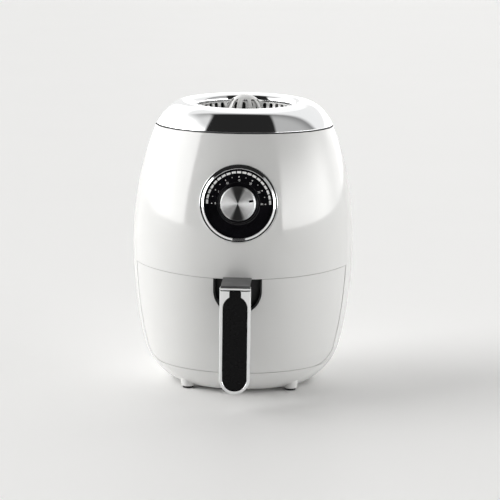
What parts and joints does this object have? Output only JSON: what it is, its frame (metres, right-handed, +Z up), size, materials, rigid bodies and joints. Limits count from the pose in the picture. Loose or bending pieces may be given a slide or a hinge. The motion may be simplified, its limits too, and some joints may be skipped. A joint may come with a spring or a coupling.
{
  "type": "air fryer",
  "caption": "Compact round air fryer with a pull-out pan and basket, vertical handle, turn-knob timer, chrome crown and ribbed top air inlet.",
  "frame": {"origin": "on the surface that the rubber feet stand on, under the middle of the whole footprint, handle included; the axis of the round body stands 22.5 mm behind it", "axes": "+Z up, the dial and the handle face -Y and the drawer pulls out towards -Y, +X is to the right seen from the front"},
  "size_m": [0.25, 0.295, 0.326],
  "materials": {
    "gloss_white": "moulded ABS, high gloss",
    "white_grille": "moulded ABS, gloss",
    "chrome_trim": "plated plastic, mirror bright",
    "black_plastic": "heat resistant plastic, satin",
    "dial_face": "printed dial, satin black",
    "smoked_guard": "smoked plastic, satin",
    "sheet_steel": "aluminised sheet steel, rolled",
    "element_tube": "heat stained steel sheath",
    "grey_plastic": "moulded plastic, fine texture",
    "motor_can": "zinc plated steel",
    "ceramic_white": "ceramic sleeve",
    "rubber_pad": "matte rubber",
    "fastener_steel": "zinc plated",
    "brushed_knob": "spun aluminium with a bright chamfer",
    "nonstick_coating": "dark grey non-stick coating, satin"
  },
  "bodies": {
    "housing": {"base_pan": "gloss_white", "outer_shell": "gloss_white", "crown_ring": "chrome_trim", "top_frame": "black_plastic", "top_grille": "white_grille", "grille_dome": "white_grille", "vent_guard": "black_plastic", "intake_duct": "black_plastic", "cavity_liner": "sheet_steel", "opening_frame": "grey_plastic", "chamber_deck": "sheet_steel", "heat_reflector": "sheet_steel", "heating_element": "element_tube", "element_clip_1": "sheet_steel", "element_clip_2": "sheet_steel", "element_clip_3": "sheet_steel", "motor_bracket": "sheet_steel", "fan_motor": "motor_can", "thermostat": "black_plastic", "thermal_fuse": "ceramic_white", "interlock_switch": "black_plastic", "rear_exhaust_grille": "white_grille", "exhaust_duct": "black_plastic", "cord_gland": "black_plastic", "pan_guide_left": "sheet_steel", "pan_guide_right": "sheet_steel", "foot_pad_1": "rubber_pad", "foot_pad_2": "rubber_pad", "foot_pad_3": "rubber_pad", "foot_pad_4": "rubber_pad", "base_screw_1": "fastener_steel", "base_screw_2": "fastener_steel", "base_screw_3": "fastener_steel", "dial_bezel": "chrome_trim", "dial_plate": "dial_face", "dial_carrier": "black_plastic", "timer_unit": "motor_can"},
    "knob": {"timer_knob": "brushed_knob", "timer_shaft": "fastener_steel"},
    "rotor": {"motor_shaft": "fastener_steel", "hot_air_fan": "sheet_steel", "fan_nut": "fastener_steel", "cooling_fan": "black_plastic"},
    "drawer": {"drawer_front": "gloss_white", "handle_recess": "black_plastic", "drawer_ledge": "black_plastic", "pan": "nonstick_coating", "basket": "nonstick_coating", "basket_bracket": "sheet_steel", "latch_pin": "fastener_steel", "handle_frame": "chrome_trim", "grip_insert": "black_plastic", "handle_core": "black_plastic", "handle_screw_1": "fastener_steel", "handle_screw_2": "fastener_steel", "button_spring": "fastener_steel"},
    "guard": {"button_guard": "smoked_guard"},
    "button": {"release_button": "black_plastic"},
    "latch": {"latch_lever": "black_plastic"}
  },
  "joints": [
    {"name": "drawer_slide", "type": "slide", "parent": "housing", "child": "drawer", "axis": [0, -1, 0], "range_m": [0, 0.22]},
    {"name": "timer_turn", "type": "hinge", "parent": "housing", "child": "knob", "pos_m": [0, -0.09782, 0.219], "axis": [0, -0.9877, 0.1564], "range_deg": [-10, 170]},
    {"name": "fan_spin", "type": "hinge", "parent": "housing", "child": "rotor", "pos_m": [0, 0.0225, 0.2], "axis": [0, 0, 1], "continuous": true},
    {"name": "guard_slide", "type": "slide", "parent": "drawer", "child": "guard", "axis": [0, -1, 0], "range_m": [0, 0.014]},
    {"name": "button_press", "type": "slide", "parent": "drawer", "child": "button", "axis": [0, 0, -1], "range_m": [0, 0.003], "stiffness_N_per_m": 400, "springref_m": -0.003, "deforming": ["button_spring"]},
    {"name": "latch_turn", "type": "hinge", "parent": "drawer", "child": "latch", "pos_m": [0, -0.0818, 0.125], "axis": [1, 0, 0], "range_deg": [0, 8]}
  ],
  "couplings": [
    {"joint": "latch_turn", "follows": "button_press", "rad_per_m": 46}
  ]
}
